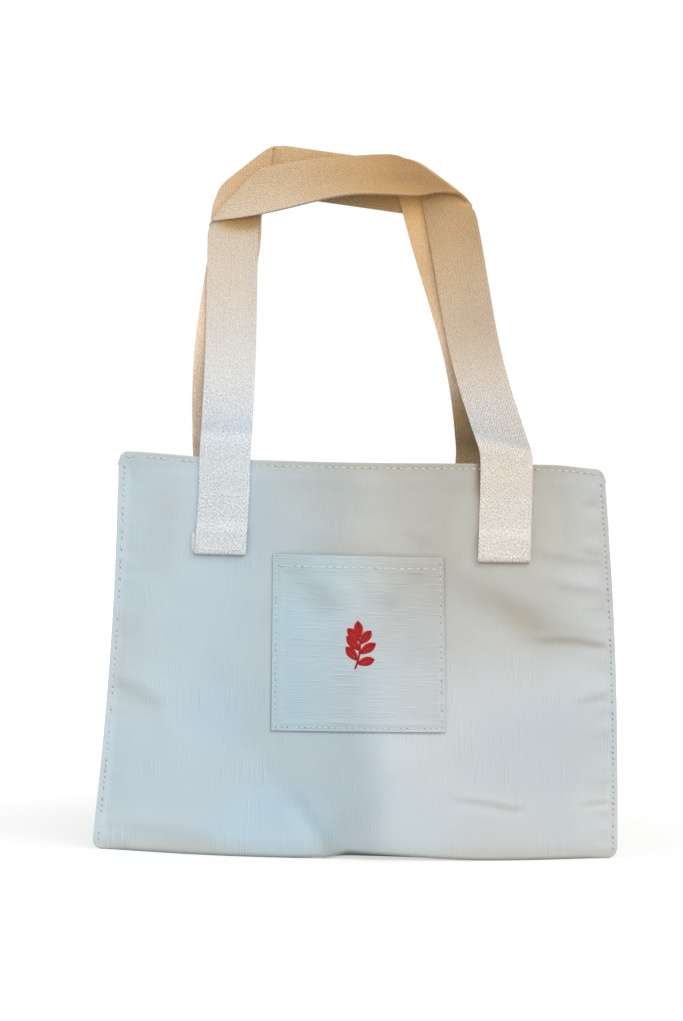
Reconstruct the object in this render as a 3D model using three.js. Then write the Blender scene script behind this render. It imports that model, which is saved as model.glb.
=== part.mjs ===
// Canvas tote bag: three cloth panels, a patch pocket on the front and two webbing handles.
// Millimetres, +Z up, the front towards -Y, the origin on the ground under the middle of the base.
import * as THREE from "three";
import { mergeVertices } from "three/addons/utils/BufferGeometryUtils.js";

// Body of the bag
const BAG_HEIGHT = 296;
const BASE_WIDTH = 397;
const MOUTH_WIDTH = 366;
const BASE_DEPTH = 70;
const MOUTH_DEPTH = 38;
const BELLY = 4;
const LENS_POWER = 2.4;
const SEAM_FLANGE = 8;
const BOTTOM_FOLD = 6;
const HEM_DEPTH = 12;
const HEM_RAMP = 9;
const TOP_CORNER = 7;
const BOTTOM_CORNER = 5;
const CANVAS = 1.2;
const SEAM_GAP = 0.3;

// Patch pocket on the front face
const POCKET_WIDTH = 129;
const POCKET_HEIGHT = 132;
const POCKET_DROP = 70;
const POCKET_OFFSET = 0;
const POCKET_HEM = 9;
const POCKET_GAPE = 10;

// Webbing of the handles
const STRAP_WIDTH = 38;
const STRAP = 1.9;
const STRAP_CLEARANCE = 0.4;
const END_DROP = 72;
const SEWN_LENGTH = 47;
const TURN_UNDER = 15;
const LAYER_GAP = 0.4;
const HINGE_GAP = 1.2;

// Where the middle of each sewn end stands, left and right of the middle of the bag
const FRONT_FOOT_LEFT = -99.5;
const FRONT_FOOT_RIGHT = 106;
const BACK_FOOT_LEFT = -106;
const BACK_FOOT_RIGHT = 88.5;

// Where each loop is folded over: left or right of the middle, and above the top edge
const FRONT_CORNER_LEFT = -97;
const FRONT_CORNER_LEFT_UP = 200;
const FRONT_CORNER_RIGHT = 54;
const FRONT_CORNER_RIGHT_UP = 213.5;
const BACK_CORNER_LEFT = -91;
const BACK_CORNER_LEFT_UP = 219;
const BACK_CORNER_RIGHT = 39;
const BACK_CORNER_RIGHT_UP = 206;
const MITRE_GAP = 0.7;
const HANDLE_GAP = 0.8;
const LEAN_HEIGHT = 150;

// Each leg runs straight up from its hinge, eases over to its slope and bows sideways to the right or left
const LEG_START = 16;
const LEG_EASE = 32;
const LEG_BOW_POWER = 0.7;
const FRONT_BOW_LEFT = 1.2;
const FRONT_BOW_RIGHT = -4.6;
const BACK_BOW_LEFT = -4.6;
const BACK_BOW_RIGHT = 4.9;

// Between its corners the front loop rises, and its lower edge tilts outwards over these shares of the span
const FRONT_SPAN_RISE = 6.5;
const FRONT_SPAN_TILT_DEG = 38;
const TILT_IN = 0.6;
const TILT_OUT = 0.5;

const FRONT = -1;
const BACK = 1;
const HINGE_Z = BAG_HEIGHT - END_DROP + SEWN_LENGTH;

const handles = {
  front: {
    side: FRONT,
    left: {
      foot: FRONT_FOOT_LEFT,
      corner: [FRONT_CORNER_LEFT, FRONT_CORNER_LEFT_UP],
      bow: FRONT_BOW_LEFT,
    },
    right: {
      foot: FRONT_FOOT_RIGHT,
      corner: [FRONT_CORNER_RIGHT, FRONT_CORNER_RIGHT_UP],
      bow: FRONT_BOW_RIGHT,
    },
    rise: FRONT_SPAN_RISE,
    tilt: THREE.MathUtils.degToRad(FRONT_SPAN_TILT_DEG),
  },
  back: {
    side: BACK,
    left: {
      foot: BACK_FOOT_LEFT,
      corner: [BACK_CORNER_LEFT, BACK_CORNER_LEFT_UP],
      bow: BACK_BOW_LEFT,
    },
    right: {
      foot: BACK_FOOT_RIGHT,
      corner: [BACK_CORNER_RIGHT, BACK_CORNER_RIGHT_UP],
      bow: BACK_BOW_RIGHT,
    },
    rise: 0,
    tilt: 0,
  },
};

const canvasCloth = { color: 0xbfcbd0, roughness: 0.86, metalness: 0 };
const webbing = { color: 0xd8c8ae, roughness: 0.9, metalness: 0 };

const { lerp, clamp } = THREE.MathUtils;

function smooth(t) {
  const c = clamp(t, 0, 1);
  return c * c * (3 - 2 * c);
}

function spread(count) {
  return Array.from({ length: count + 1 }, (_, i) => i / count);
}

// Half the width of the body at a height.
function halfWidth(z) {
  return lerp(BASE_WIDTH, MOUTH_WIDTH, z / BAG_HEIGHT) / 2;
}

// Clear distance from the middle plane to the inside of a face: deepest in the middle, nothing at the seams.
function clearDepth(x, z) {
  const h = Math.min(z / BAG_HEIGHT, 1);
  const middle = lerp(BASE_DEPTH, MOUTH_DEPTH, h) / 2 + BELLY * 4 * h * (1 - h);
  const across = Math.min(Math.abs(x) / (halfWidth(h * BAG_HEIGHT) - SEAM_FLANGE), 1);
  return middle * (1 - across ** LENS_POWER);
}

// Outside of a face, from the middle plane. The turned hem pushes it out by one more layer of cloth.
function outerDepth(x, z) {
  const hem = smooth((z - (BAG_HEIGHT - HEM_DEPTH - HEM_RAMP)) / HEM_RAMP);
  return clearDepth(x, z) + SEAM_GAP / 2 + CANVAS * (1 + hem);
}

// How far a rounded corner takes the edge away at a distance in from the side.
function cornerDrop(inFromSide, radius) {
  const short = Math.max(radius - inFromSide, 0);
  return radius - Math.sqrt(radius * radius - short * short);
}

// Outside radius of the fold from a face into the base: tight at the seams, where there is no depth.
function foldRadius(u) {
  const tight = CANVAS + 0.05;
  const room = clearDepth(u * halfWidth(0), 0) / (2 * BOTTOM_FOLD);
  return lerp(tight, Math.max(BOTTOM_FOLD, tight), Math.min(room, 1));
}

// Stations across a face, as shares of the half width, closer together at the side seams.
function panelStations() {
  const inFromSide = [0, 0.7, 2, 4, 7, 11, 17];
  const edge = inFromSide.map((d) => 1 - (2 * d) / BASE_WIDTH);
  const last = edge[edge.length - 1];
  const middle = spread(16).slice(1, -1).map((t) => lerp(-last, last, t));
  return [...edge.map((u) => -u), ...middle, ...edge.reverse()];
}

// A closed solid between two matching grids of points.
function slab(outer, inner) {
  const rows = outer.length;
  const columns = outer[0].length;
  const points = [...outer.flat(), ...inner.flat()];
  const at = (side, i, k) => side * rows * columns + i * columns + k;
  const index = [];
  const quad = (a, b, c, d) => index.push(a, b, c, a, c, d);
  const endRow = rows - 1;
  const endColumn = columns - 1;
  for (let i = 0; i < endRow; i++) {
    for (let k = 0; k < endColumn; k++) {
      quad(at(0, i, k), at(0, i, k + 1), at(0, i + 1, k + 1), at(0, i + 1, k));
      quad(at(1, i, k), at(1, i + 1, k), at(1, i + 1, k + 1), at(1, i, k + 1));
    }
    quad(at(0, i, 0), at(0, i + 1, 0), at(1, i + 1, 0), at(1, i, 0));
    quad(at(0, i, endColumn), at(1, i, endColumn), at(1, i + 1, endColumn), at(0, i + 1, endColumn));
  }
  for (let k = 0; k < endColumn; k++) {
    quad(at(0, 0, k), at(1, 0, k), at(1, 0, k + 1), at(0, 0, k + 1));
    quad(at(0, endRow, k), at(0, endRow, k + 1), at(1, endRow, k + 1), at(1, endRow, k));
  }
  return solid(points, index);
}

// Geometry from points and triangles, turned so that its faces look outwards.
function solid(points, index) {
  let volume = 0;
  for (let i = 0; i < index.length; i += 3) {
    const [a, b, c] = [points[index[i]], points[index[i + 1]], points[index[i + 2]]];
    volume += a.dot(b.clone().cross(c));
  }
  const geometry = new THREE.BufferGeometry();
  geometry.setAttribute("position", new THREE.Float32BufferAttribute(points.flatMap((p) => p.toArray()), 3));
  geometry.setIndex(volume < 0 ? index.toReversed() : index);
  geometry.computeVertexNormals();
  return geometry;
}

// One face of the body: turned under at the bottom, turned in to a doubled hem at the mouth.
function panel(side) {
  const outer = [];
  const inner = [];
  const corner = Math.min(TOP_CORNER, HEM_DEPTH * 0.6);
  const hemEdge = BAG_HEIGHT - HEM_DEPTH;
  const roundOver = CANVAS * 0.5;
  for (const u of panelStations()) {
    const point = (q, z) => new THREE.Vector3(u * halfWidth(z), side * q, z);
    const inFromSide = (1 - Math.abs(u)) * halfWidth(BAG_HEIGHT / 2);
    const top = BAG_HEIGHT - cornerDrop(inFromSide, corner);
    const fold = foldRadius(u);
    const start = cornerDrop(inFromSide, BOTTOM_CORNER) + fold;
    const outside = (z) => outerDepth(u * halfWidth(z), z);
    const wall = outside(start);
    const outerLine = [];
    const innerLine = [];
    for (const turn of [1, 0.75, 0.5, 0.25]) {
      const across = Math.cos((turn * Math.PI) / 2);
      const down = Math.sin((turn * Math.PI) / 2);
      outerLine.push(point(wall - fold + fold * across, start - fold * down));
      innerLine.push(point(wall - fold + (fold - CANVAS) * across, start - (fold - CANVAS) * down));
    }
    const belowHem = hemEdge - roundOver;
    const body = spread(11).map((t) => lerp(start, hemEdge - HEM_RAMP, t));
    const ramp = [0.33, 0.67, 1].map((t) => lerp(hemEdge - HEM_RAMP, belowHem, t));
    for (const z of [...body, ...ramp]) {
      outerLine.push(point(outside(z), z));
      innerLine.push(point(outside(z) - CANVAS, z));
    }
    for (const z of [hemEdge, top - roundOver]) {
      outerLine.push(point(outside(z), z));
      innerLine.push(point(outside(z) - 2 * CANVAS, z));
    }
    outerLine.push(point(outside(top) - roundOver, top));
    innerLine.push(point(outside(top) - 2 * CANVAS + roundOver, top));
    outer.push(outerLine);
    inner.push(innerLine);
  }
  return slab(outer, inner);
}

// The flat base: fills the space between the two turned-under edges.
function base() {
  const half = [];
  for (const u of panelStations()) {
    const fold = foldRadius(u);
    const room = outerDepth(u * halfWidth(fold), fold) - fold - SEAM_GAP;
    if (room > 1) {
      half.push(new THREE.Vector2(u * halfWidth(0), room));
    }
  }
  const outline = [...half, ...half.map((p) => new THREE.Vector2(p.x, -p.y)).reverse()];
  const plate = new THREE.ExtrudeGeometry(new THREE.Shape(outline), { depth: CANVAS, bevelEnabled: false });
  return mergeVertices(plate.deleteAttribute("uv").deleteAttribute("normal"));
}

// The pocket: sewn down at the sides and the bottom, standing off the face at its hemmed mouth.
function pocket() {
  const outer = [];
  const inner = [];
  const mouth = BAG_HEIGHT - POCKET_DROP;
  const foot = mouth - POCKET_HEIGHT;
  const hemEdge = mouth - POCKET_HEM;
  const roundOver = CANVAS * 0.5;
  for (const t of spread(16)) {
    const u = 2 * t - 1;
    const x = POCKET_OFFSET + (u * POCKET_WIDTH) / 2;
    const point = (q, z) => new THREE.Vector3(x, FRONT * q, z);
    const outside = (z) => {
      const gape = POCKET_GAPE * (1 - u * u) * ((z - foot) / POCKET_HEIGHT);
      const hem = smooth((z - (hemEdge - POCKET_HEM)) / POCKET_HEM);
      return outerDepth(x, z) + SEAM_GAP + gape + CANVAS * (1 + hem);
    };
    const outerLine = [];
    const innerLine = [];
    const body = spread(7).map((w) => lerp(foot, hemEdge - POCKET_HEM, w));
    const ramp = [0.33, 0.67, 1].map((w) => lerp(hemEdge - POCKET_HEM, hemEdge - roundOver, w));
    for (const z of [...body, ...ramp]) {
      outerLine.push(point(outside(z), z));
      innerLine.push(point(outside(z) - CANVAS, z));
    }
    for (const z of [hemEdge, mouth - roundOver]) {
      outerLine.push(point(outside(z), z));
      innerLine.push(point(outside(z) - 2 * CANVAS, z));
    }
    outerLine.push(point(outside(mouth) - roundOver, mouth));
    innerLine.push(point(outside(mouth) - 2 * CANVAS + roundOver, mouth));
    outer.push(outerLine);
    inner.push(innerLine);
  }
  return slab(outer, inner);
}

// Middle line of a sewn strap end as [distance off the face, height]: down, round the fold and up again.
function endLine() {
  const foot = BAG_HEIGHT - END_DROP + STRAP / 2;
  const top = HINGE_Z - HINGE_GAP / 2;
  const turn = (STRAP + LAYER_GAP) / 2;
  const near = STRAP_CLEARANCE + STRAP / 2;
  const far = near + 2 * turn;
  const tucked = Math.min(TURN_UNDER, 0.5 * (top - foot));
  const stepTop = Math.min(foot + tucked + 10, top - 2);
  const stepFoot = foot + tucked + 1;
  const line = [[near, top]];
  for (const t of spread(4)) {
    line.push([lerp(near, far, smooth(t)), lerp(stepTop, stepFoot, t)]);
  }
  for (const t of spread(6)) {
    const angle = t * Math.PI;
    line.push([near + turn + turn * Math.cos(angle), foot + turn - turn * Math.sin(angle)]);
  }
  line.push([near, foot + tucked]);
  return line;
}

// The sewn end of a strap, lying on a face of the body.
function strapEnd(side, middle) {
  const line = endLine().map(([q, z]) => new THREE.Vector2(q, z));
  const edges = line.map((p, i) => {
    const along = line[Math.min(i + 1, line.length - 1)].clone().sub(line[Math.max(i - 1, 0)]).normalize();
    return new THREE.Vector2(-along.y, along.x).multiplyScalar(STRAP / 2);
  });
  const shell = (sign) => spread(4).map((t) => {
    const x = middle + (t - 0.5) * STRAP_WIDTH;
    return line.map((p, i) => {
      const q = outerDepth(x, p.y) + p.x + sign * edges[i].x;
      return new THREE.Vector3(x, side * q, p.y + sign * edges[i].y);
    });
  });
  return slab(shell(1), shell(-1));
}

// A flat strip folded over at a crease. Beyond the crease it runs back behind itself, a fold's width away.
function foldOver(p, corner, crease, ahead, radius) {
  const off = p.clone().sub(corner);
  const normal = new THREE.Vector2(-crease.y, crease.x);
  normal.multiplyScalar(Math.sign(normal.dot(ahead)));
  const past = off.dot(normal);
  if (past <= 0) {
    return [p, 0];
  }
  const foot = corner.clone().addScaledVector(crease, off.dot(crease));
  if (past < Math.PI * radius) {
    foot.addScaledVector(normal, radius * Math.sin(past / radius));
    return [foot, radius * (1 - Math.cos(past / radius))];
  }
  return [foot.addScaledVector(normal, Math.PI * radius - past), 2 * radius];
}

// How far a leg stands from a straight line down from its corner, at a height.
function legShift({ slope, bow, corner }, z) {
  const easeFoot = HINGE_Z + LEG_START;
  const ease = 1 - clamp((z - easeFoot) / LEG_EASE, 0, 1);
  const upright = slope * ((LEG_EASE * ease * ease) / 2 + Math.max(easeFoot - z, 0));
  const rising = clamp((z - BAG_HEIGHT) / (corner.y - BAG_HEIGHT), 0, 1);
  return upright + bow * Math.sin(Math.PI * rising ** LEG_BOW_POWER) ** 2;
}

// One handle loop: up one leg, mitred over, across the top, mitred over and down the other leg.
function handleLoop({ side, left: leftLeg, right: rightLeg, rise, tilt }) {
  const radius = (STRAP + MITRE_GAP) / 2;
  const foldLength = Math.PI * radius;
  const end = HINGE_Z + HINGE_GAP / 2;
  const legs = [leftLeg, rightLeg];
  const corners = legs.map(({ corner: [x, up] }) => new THREE.Vector2(x, BAG_HEIGHT + up));
  const along = corners[1].clone().sub(corners[0]).normalize();
  const across = new THREE.Vector2(-along.y, along.x);
  const topLength = corners[0].distanceTo(corners[1]);
  const sides = corners.map((corner, i) => {
    const { foot, bow } = legs[i];
    const slope = (corner.x - foot) / (corner.y - HINGE_Z - LEG_START - LEG_EASE / 2);
    const down = new THREE.Vector2(-slope, -1).normalize();
    const ahead = along.clone().multiplyScalar(2 * i - 1);
    const crease = ahead.clone().add(down).normalize();
    const skew = crease.dot(along) / crease.dot(across);
    const reach = Math.hypot(1, skew);
    return { corner, slope, bow, ahead, crease, skew, reach, start: i * topLength, sign: 2 * i - 1 };
  });

  const [left, right] = sides;
  const creaseAt = (leg, v, past) => leg.start + leg.skew * v + leg.sign * past * leg.reach;

  // The place of a point of the strip: s along it from the left corner, v across it.
  const place = (s, v) => {
    const [from, to] = [creaseAt(left, v, 0), creaseAt(right, v, 0)];
    const share = (s - from) / (to - from);
    const swell = smooth(share / TILT_IN) * (1 - (1 - clamp((1 - share) / TILT_OUT, 0, 1)) ** 4);
    const up = v * Math.cos(tilt * swell) + rise * swell;
    const out = (STRAP_WIDTH / 2 - v) * Math.sin(tilt * swell);
    const flat = corners[0].clone().addScaledVector(along, s).addScaledVector(across, up);
    const leg = s < topLength / 2 ? sides[0] : sides[1];
    const [p, layer] = foldOver(flat, leg.corner, leg.crease, leg.ahead, radius);
    const x = layer > 0 ? p.x + legShift(leg, p.y) : p.x;
    const onFace = outerDepth(x, Math.min(p.y, BAG_HEIGHT)) + STRAP_CLEARANCE + STRAP / 2;
    const lean = smooth((p.y - BAG_HEIGHT) / LEAN_HEIGHT);
    const q = lerp(onFace, (HANDLE_GAP + STRAP) / 2, lean) + 2 * radius - layer + out;
    return new THREE.Vector3(x, side * q, p.y);
  };

  // Where a leg ends level with the hinge, and where it meets the fold, at a distance v across the strip.
  const legEnd = (leg, v) => {
    const [a, b] = [1, 2].map((n) => leg.start + leg.sign * n * STRAP_WIDTH * 2);
    const [za, zb] = [a, b].map((s) => place(s, v).z);
    return a + ((end - za) * (b - a)) / (zb - za);
  };
  const overTheHem = [0, 0.015, 0.03, 0.045, 0.06, 0.08, 0.1, 0.13, 0.17, 0.22];
  const legSteps = [...overTheHem, 0.3, 0.4, 0.5, 0.6, 0.7, 0.8, 0.9];
  const spanSteps = [0.09, 0.18, 0.27, 0.36, 0.45, 0.54, 0.63, 0.72, 0.8, 0.87, 0.92, 0.96];
  const stations = [
    ...legSteps.map((t) => (v) => lerp(legEnd(left, v), creaseAt(left, v, foldLength), t)),
    ...spread(6).map((t) => (v) => creaseAt(left, v, foldLength * (1 - t))),
    ...spanSteps.map((t) => (v) => lerp(creaseAt(left, v, 0), creaseAt(right, v, 0), t)),
    ...spread(6).map((t) => (v) => creaseAt(right, v, foldLength * t)),
    ...legSteps.toReversed().map((t) => (v) => lerp(legEnd(right, v), creaseAt(right, v, foldLength), t)),
  ];
  const grid = stations.map((station) => spread(4).map((t) => {
    const v = (t - 0.5) * STRAP_WIDTH;
    return place(station(v), v);
  }));
  const near = (list, i) => list[Math.min(Math.max(i, 0), list.length - 1)];
  const shell = (sign) => grid.map((row, i) => row.map((p, k) => {
    const down = near(grid, i + 1)[k].clone().sub(near(grid, i - 1)[k]).normalize();
    const wide = near(row, k + 1).clone().sub(near(row, k - 1)).normalize();
    return p.clone().addScaledVector(down.cross(wide).normalize(), (sign * STRAP) / 2);
  }));
  return slab(shell(1), shell(-1));
}

const group = new THREE.Group();
group.name = "tote_bag";

function addPart(name, geometry, look) {
  const mesh = new THREE.Mesh(geometry, new THREE.MeshStandardMaterial(look));
  mesh.name = name;
  group.add(mesh);
}

addPart("front_panel", panel(FRONT), canvasCloth);
addPart("back_panel", panel(BACK), canvasCloth);
addPart("base_panel", base(), canvasCloth);
addPart("patch_pocket", pocket(), canvasCloth);
for (const [face, handle] of Object.entries(handles)) {
  addPart(`${face}_left_strap_end`, strapEnd(handle.side, handle.left.foot), webbing);
  addPart(`${face}_right_strap_end`, strapEnd(handle.side, handle.right.foot), webbing);
  addPart(`${face}_handle_strap`, handleLoop(handle), webbing);
}

export default group;
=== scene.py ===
"""Looks of a canvas tote bag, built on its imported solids.

Metres, +Z up, the front towards -Y, as in the solids. The cloth faces, the pocket, the sewn strap ends and the
stitching all follow one creased face of cloth, so they stay on each other.
"""

import math

import bpy
from mathutils import Matrix, Vector, noise


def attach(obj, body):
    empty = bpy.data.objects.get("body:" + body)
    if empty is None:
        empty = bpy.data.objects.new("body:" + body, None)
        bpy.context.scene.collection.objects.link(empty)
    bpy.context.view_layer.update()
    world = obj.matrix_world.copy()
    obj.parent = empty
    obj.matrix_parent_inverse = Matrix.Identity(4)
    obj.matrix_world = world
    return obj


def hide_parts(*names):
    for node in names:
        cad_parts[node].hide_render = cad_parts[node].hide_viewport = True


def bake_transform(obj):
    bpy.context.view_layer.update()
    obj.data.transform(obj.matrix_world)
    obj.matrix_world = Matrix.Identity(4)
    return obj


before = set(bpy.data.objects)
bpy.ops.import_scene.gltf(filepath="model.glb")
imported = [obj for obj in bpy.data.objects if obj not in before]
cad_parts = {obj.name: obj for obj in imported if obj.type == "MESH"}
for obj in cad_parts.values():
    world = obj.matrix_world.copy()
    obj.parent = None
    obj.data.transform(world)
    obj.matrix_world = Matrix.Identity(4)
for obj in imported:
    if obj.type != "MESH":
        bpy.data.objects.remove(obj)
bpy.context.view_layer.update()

MM = 0.001
FRONT, BACK = -1, 1

# Body of the bag, as in the solids apart from a tighter bottom fold, a pressed hem and rounder bottom corners
BAG_HEIGHT = 296 * MM
BASE_WIDTH = 397 * MM
MOUTH_WIDTH = 366 * MM
BASE_DEPTH = 70 * MM
MOUTH_DEPTH = 38 * MM
BELLY = 4 * MM
LENS_POWER = 2.4
SEAM_FLANGE = 8 * MM
BOTTOM_FOLD = 3.5 * MM
HEM_DEPTH = 12 * MM
HEM_RAMP = 12 * MM
HEM_PRESS = 0.5
TOP_CORNER = 7 * MM
BOTTOM_CORNER = 8 * MM
CANVAS = 1.2 * MM
SEAM_GAP = 0.3 * MM
SHY = 0.05 * MM

# Patch pocket, as in the solids apart from thinner cloth and a mouth that gapes less
POCKET_WIDTH = 129 * MM
POCKET_HEIGHT = 132 * MM
POCKET_MOUTH = BAG_HEIGHT - 70 * MM
POCKET_FOOT = POCKET_MOUTH - POCKET_HEIGHT
POCKET_HEM = 9 * MM
POCKET_GAPE = 5 * MM
POCKET_CLOTH = 0.5 * MM
POCKET_CLEARANCE = 0.22 * MM

# Webbing of the handles, as in the solids apart from legs that bend and lean together nearer the mouth
STRAP_WIDTH = 38 * MM
STRAP = 1.9 * MM
STRAP_CLEARANCE = 0.4 * MM
END_FOOT = BAG_HEIGHT - 72 * MM
HINGE_Z = END_FOOT + 47 * MM
TURN_UNDER = 15 * MM
LAYER_GAP = 0.4 * MM
MITRE_GAP = 0.7 * MM
HANDLE_GAP = 0.8 * MM
LEAN_HEIGHT = 100 * MM
LEG_START = 28 * MM
LEG_EASE = 12 * MM

# Rows of stitches, from the edges
STITCH_INSET = 4 * MM
POCKET_STITCH = 2.8 * MM
POCKET_HEM_STITCH = 9 * MM
SEAM_DIP = 0.3 * MM
POCKET_DIP = 0.28 * MM

# How each handle stands. feet: from the middle. corners: folds of the strip, from the middle and above the top
# edge. bows and hips: how far the legs bend sideways, and bulge below the folds. lift and tilt: of the span
# between the folds. tuck: of its lower edge, on the right. lean: of the sewn ends. ends: their length as a share
# of the solids'. points: how far the folds are rounded, in mm, the upper and lower point on the left, then on
# the right. knees: their height above the top edge, depth and slope.
HANDLES = {
    "front": {
        "side": FRONT,
        "feet": (-99.5 * MM, 105.2 * MM),
        "corners": ((-97 * MM, 200 * MM), (54 * MM, 213.5 * MM)),
        "bows": (1.2 * MM, -5.6 * MM),
        "hips": (0, 0),
        "lift": 6.5 * MM,
        "tilt": math.radians(38),
        "tuck": 5.5 * MM,
        "lean": (0.045, 0.022),
        "ends": (1.0, 1.04),
        "points": (5, 6, 10, 7),
        "knees": ((20.5 * MM, 3.4 * MM, 0.0), (16 * MM, 4.2 * MM, -0.2)),
    },
    "back": {
        "side": BACK,
        "feet": (-106 * MM, 87.6 * MM),
        "corners": ((-89 * MM, 221.8 * MM), (39 * MM, 206 * MM)),
        "bows": (-5.8 * MM, 6.4 * MM),
        "hips": (-2.4 * MM, 0),
        "lift": 0,
        "tilt": 0,
        "tuck": 0,
        "lean": (0.02, -0.015),
        "ends": (1.0, 1.0),
        "points": (6, 7, 6, 6),
        "knees": ((16 * MM, 1.6 * MM, 0.1), (20 * MM, 1.4 * MM, -0.1)),
    },
}

# Soft creases of a face, in mm: route across the face, width, valley and roll. The roll lifts the cloth on the
# left hand of the route and lets it fall on the right.
CREASES = {
    FRONT: (
        (((52, 236), (72, 211), (88, 200), (104, 192), (119, 182.5), (131, 173.5), (141, 168), (153, 165),
          (166, 163), (204, 151)), 13.0, 0.4, 2.0),
        (((112, 163), (143, 163.6), (160, 163.4), (171, 161.8), (181, 158.6), (192, 155.5),
          (208, 149)), 3.4, 0.5, 1.1),
        (((106, 236), (130, 228), (149, 224.5), (164, 223), (177, 220.5), (187, 215), (204, 207)), 6.0, 0.4, 1.2),
        (((128, 208), (150, 203), (172, 200), (186, 197), (204, 193)), 5.5, 0.4, 1.1),
        (((156, 235), (176, 229), (202, 226)), 4.5, 0.5, 1.1),
        (((154, 115), (164, 117), (178, 119.5), (208, 121)), 4.2, 0.5, 0.9),
        (((62, 46), (84, 43.8), (100, 42), (108, 40.2), (117, 38.2), (134, 38.4)), 2.8, 0.5, 0.9),
        (((162, 40), (178, 41.2), (188, 41.8), (205, 41.5)), 2.6, 0.5, 0.8),
        (((160, 267), (178, 270), (200, 276)), 3.6, 0.5, 1.1),
        (((164, 250), (182, 249), (200, 252)), 4.0, 0.3, 0.8),
        (((-206, 128), (-176, 121), (-140, 104)), 9.5, 0.5, 1.2),
        (((-187, 106), (-183, 150), (-179, 200)), 9.0, 0.2, 0.9),
        (((-3, -30), (0, 36), (12, 100)), 19.0, 0.4, -3.6),
        (((26, 246), (40, 239), (56, 232)), 6.0, 0.3, 1.0),
        (((78, 214), (82, 256), (86, 306)), 9.0, 0.2, -1.2),
        (((-4, -34), (-20, -1), (-25.5, 8.6), (-31.5, 21), (-41, 36), (-54, 54)), 13.0, 1.9, -0.2),
        (((-200, 20), (-150, 14), (-96, 10)), 9.0, 0.3, 0.9),
        (((-20, 306), (-14, 270), (-30, 236)), 18.0, 0.2, 1.6),
        (((-150, 300), (-146, 250), (-160, 190)), 16.0, 0.2, 1.0),
    ),
    BACK: (
        (((-199, 150), (-150, 168), (-96, 196)), 11.0, 0.8, 2.3),
        (((199, 112), (150, 120), (110, 112)), 8.0, 0.6, 1.6),
        (((-70, 60), (-20, 44), (50, 52)), 15.0, 0.7, 2.0),
        (((20, 228), (60, 214), (96, 190)), 13.0, 0.5, 1.6),
        (((-40, -4), (-30, 60), (-44, 110)), 15.0, 0.6, 1.8),
        (((120, 60), (160, 52), (199, 56)), 7.0, 0.4, 1.1),
    ),
}
CREASE_REACH = 3.2
CREASE_FADES = (0.35, 0.25)
VALLEY_GRADE = 2.5

# The same for the pocket, from its middle and its foot
POCKET_CREASES = (
    (((-58, 126), (-34, 104), (-8, 84)), 11.0, 0.4, 2.5),
    (((6, 92), (26, 98), (54, 122)), 11.0, 0.4, 2.4),
    (((-20, 6), (4, 30), (10, 56)), 16.0, 0.3, 1.0),
)

# How far each corner of the pocket is off the true rectangle, in mm, across and up: lower left, lower right,
# upper left and upper right
POCKET_CORNERS = ((0.5, 0.5), (1.4, 1.4), (-0.9, 0.0), (-2.4, -0.6))

# The outline of the standing bag is a little off the true: the sides bow, the left corner of the mouth is
# pulled up, and the front of the base has a kink.
SIDE_BOW = 3.6 * MM
LEFT_LIFT = 4.6 * MM
RIGHT_DROP = 2.6 * MM
MIDDLE_DROP = 1.2 * MM
KINK_LIFT = 5.2 * MM
KINK_X = -14 * MM

# Heights of the cloth's unevenness, in mm
DRIFT, FINE_DRIFT = 1.5, 0.3
DRAWN_PUCKER, SEWN_PUCKER, HEM_PUCKER = 1.7, 0.8, 0.35


def mix(a, b, t):
    return a + (b - a) * t


def clamp(t):
    return min(max(t, 0.0), 1.0)


def smooth(t):
    c = clamp(t)
    return c * c * (3 - 2 * c)


def rise(value, start, length):
    """0 up to a start and 1 from a length past it, both in mm, smooth between them."""
    return smooth((value - start * MM) / (length * MM))


def bell(distance, width):
    return math.exp(-(distance / width) ** 2)


def spread(start, end, count):
    """count + 1 even steps from start to end."""
    return [mix(start, end, i / count) for i in range(count + 1)]


# The creased face of cloth

def half_width(z):
    return mix(BASE_WIDTH, MOUTH_WIDTH, z / BAG_HEIGHT) / 2


def clear_depth(x, z):
    """From the middle plane to the inside of a face: deepest in the middle, nothing at the seams."""
    h = min(z / BAG_HEIGHT, 1)
    middle = mix(BASE_DEPTH, MOUTH_DEPTH, h) / 2 + BELLY * 4 * h * (1 - h)
    across = min(abs(x) / (half_width(h * BAG_HEIGHT) - SEAM_FLANGE), 1)
    return middle * (1 - across ** LENS_POWER)


def outer_depth(x, z):
    """Outside of a smooth face. The turned and pressed hem pushes it out a little."""
    hem = smooth((z - (BAG_HEIGHT - HEM_DEPTH - HEM_RAMP)) / HEM_RAMP)
    return clear_depth(x, z) + SEAM_GAP / 2 + CANVAS * (1 + HEM_PRESS * hem)


def beside(route, x, z):
    """Distance from a route across the face, positive on its left hand, and the share of the route passed."""
    legs = list(zip(route, route[1:]))
    lengths = [math.dist(a, b) for a, b in legs]
    best = (1e9, 0.0, 0.0)
    passed = 0.0
    for ((ax, az), (bx, bz)), length in zip(legs, lengths):
        ux, uz = (bx - ax) / length, (bz - az) / length
        along = min(max((x - ax) * ux + (z - az) * uz, 0.0), length)
        off = math.hypot(x - ax - ux * along, z - az - uz * along)
        left = ux * (z - az) - uz * (x - ax)
        if off < best[0]:
            best = (off, math.copysign(off, left), passed + along)
        passed += length
    return best[1], best[2] / passed


def crease_near(crease, x, z):
    """Distance from a crease in widths, and how strong the crease is there."""
    route, width = crease[:2]
    xs, zs = zip(*route)
    reach = CREASE_REACH * width
    if not (min(xs) - reach < x < max(xs) + reach and min(zs) - reach < z < max(zs) + reach):
        return 0.0, 0.0
    off, share = beside(route, x, z)
    t = off / width
    fade_in, fade_out = CREASE_FADES
    return t, smooth(share / fade_in) * smooth((1 - share) / fade_out) * math.exp(-t * t / 2)


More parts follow.
